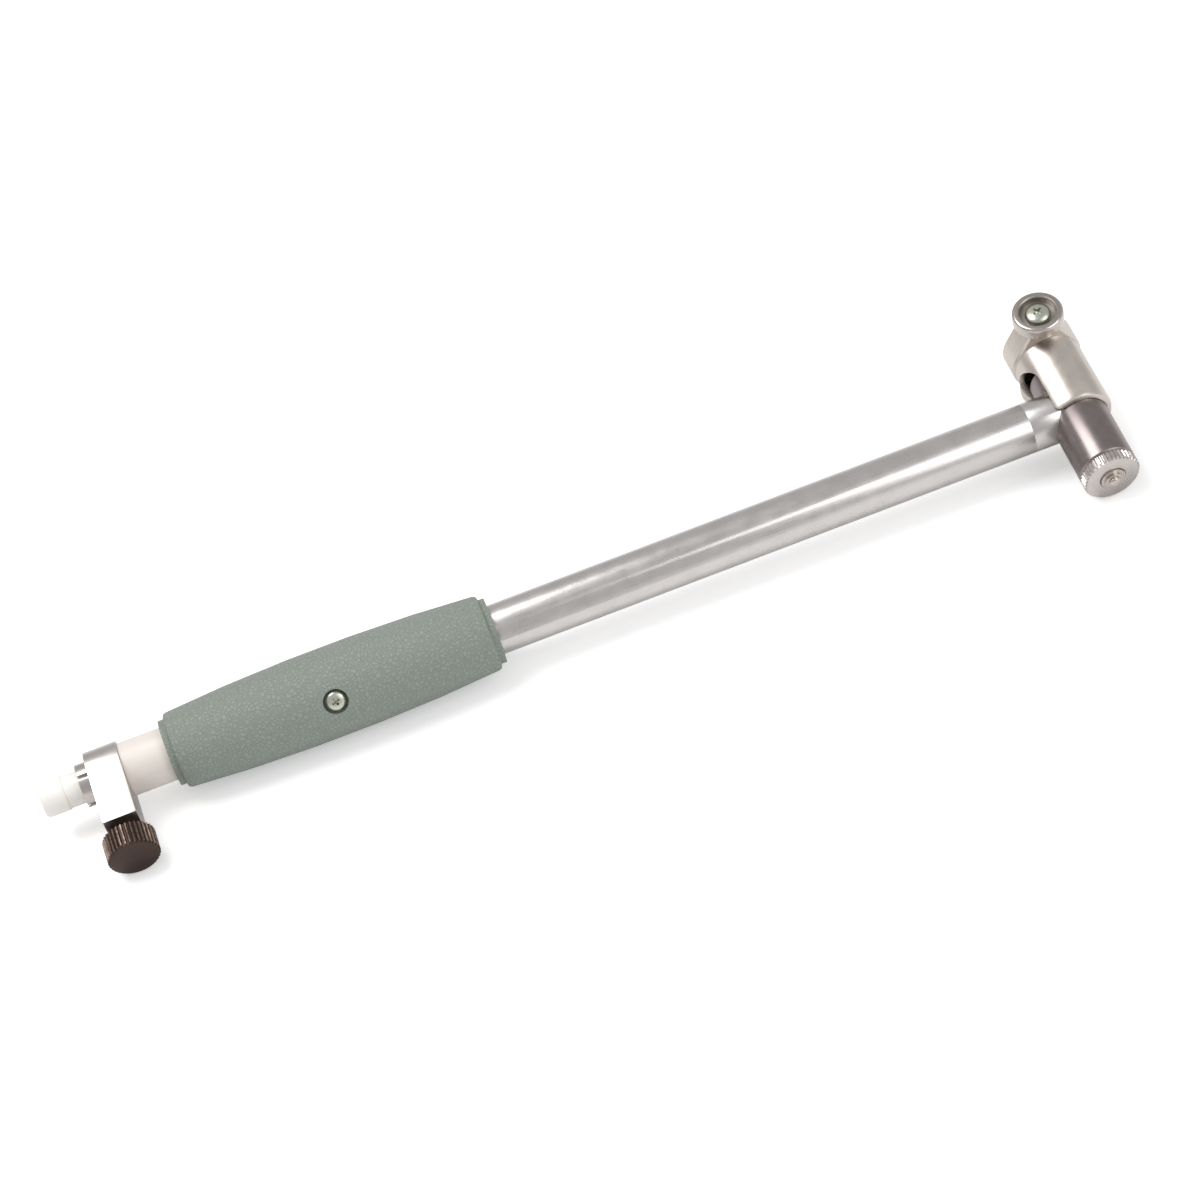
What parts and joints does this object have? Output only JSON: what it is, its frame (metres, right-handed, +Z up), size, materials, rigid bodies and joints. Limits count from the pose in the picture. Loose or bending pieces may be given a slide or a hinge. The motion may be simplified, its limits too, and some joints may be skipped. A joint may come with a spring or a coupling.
{
  "type": "dial bore gauge",
  "caption": "Two-point bore gauge without its indicator: head with anvil, moving contact and sprung centring wheels, long tube, grip, collet and clamp knob.",
  "frame": {"origin": "on the bench under the middle of the gauge as it lies at rest", "axes": "+Z up from the bench; +X along the tube from the plug to the head; +Y across, from the anvil towards the moving contact"},
  "size_m": [0.2656, 0.0536, 0.0314],
  "materials": {
    "head_steel": "dark fine-ground steel",
    "satin_steel": "satin chromed steel",
    "satin_nickel": "bead-blasted warm satin nickel",
    "polished_steel": "polished hardened steel",
    "bright_steel": "turned bright steel",
    "collet_steel": "turned steel",
    "zinc_steel": "zinc-plated screw",
    "carbide": "ground carbide",
    "spring_steel": "drawn spring wire",
    "bronze": "sintered bronze",
    "browned_steel": "browned steel, worn on the ridges",
    "grip_plastic": "grey-green moulded plastic with a fine leather grain",
    "pale_plastic": "off-white plastic",
    "clear_plastic": "milky translucent plastic"
  },
  "bodies": {
    "frame": {"head_body": "head_steel", "tube_collar": "satin_steel", "stem_tube": "satin_steel", "plunger_guide": "satin_steel", "lever_pin": "polished_steel", "return_spring": "spring_steel", "bridge_spring": "spring_steel", "anvil": "polished_steel", "grip_front": "grip_plastic", "grip_back": "grip_plastic", "grip_screw_front": "zinc_steel", "grip_screw_back": "zinc_steel", "neck_sleeve": "pale_plastic", "collet": "collet_steel", "clamp_ring": "bright_steel", "clamp_pad": "bronze", "plug": "clear_plastic"},
    "bridge": {"centering_bridge": "satin_nickel", "bridge_stop": "head_steel", "wheel_screw_near": "zinc_steel", "wheel_screw_far": "zinc_steel"},
    "near_wheel": {"wheel_near": "polished_steel"},
    "far_wheel": {"wheel_far": "polished_steel"},
    "contact": {"contact_plunger": "polished_steel", "contact_tip": "carbide"},
    "crank": {"bell_crank": "head_steel"},
    "rod": {"push_rod": "polished_steel"},
    "knob": {"clamp_knob": "browned_steel"},
    "nut": {"anvil_nut": "bright_steel"}
  },
  "joints": [
    {"name": "bridge_slide", "type": "slide", "parent": "frame", "child": "bridge", "axis": [0.0002, -0.9772, -0.2122], "range_m": [0, 0.005], "stiffness_N_per_m": 400, "springref_m": -0.005, "deforming": ["bridge_spring"]},
    {"name": "near_wheel_spin", "type": "hinge", "parent": "bridge", "child": "near_wheel", "pos_m": [0.12414, 0.01506, 0.02844], "axis": [-0.0009, -0.2122, 0.9772], "continuous": true},
    {"name": "far_wheel_spin", "type": "hinge", "parent": "bridge", "child": "far_wheel", "pos_m": [0.12416, 0.0206, 0.00293], "axis": [-0.0009, -0.2122, 0.9772], "continuous": true},
    {"name": "rod_slide", "type": "slide", "parent": "frame", "child": "rod", "axis": [-1, 0, -0.0009], "range_m": [0, 0.0016], "stiffness_N_per_m": 600, "springref_m": -0.003, "deforming": ["return_spring"]},
    {"name": "contact_slide", "type": "slide", "parent": "frame", "child": "contact", "axis": [0.0002, -0.9772, -0.2122], "range_m": [0, 0.0016]},
    {"name": "crank_turn", "type": "hinge", "parent": "frame", "child": "crank", "pos_m": [0.11955, 0.00278, 0.01241], "axis": [0.0009, 0.2122, -0.9772], "range_deg": [0, 20.04]},
    {"name": "knob_turn", "type": "hinge", "parent": "frame", "child": "knob", "pos_m": [-0.11624, -0.02126, 0.00697], "axis": [0.0002, -0.9772, -0.2122], "range_deg": [0, 180]},
    {"name": "nut_turn", "type": "hinge", "parent": "frame", "child": "nut", "pos_m": [0.12416, -0.02195, 0.00705], "axis": [0.0002, -0.9772, -0.2122], "range_deg": [0, 180]}
  ],
  "couplings": [
    {"joint": "contact_slide", "follows": "rod_slide", "ratio": 1},
    {"joint": "crank_turn", "follows": "rod_slide", "rad_per_m": 218.5}
  ]
}
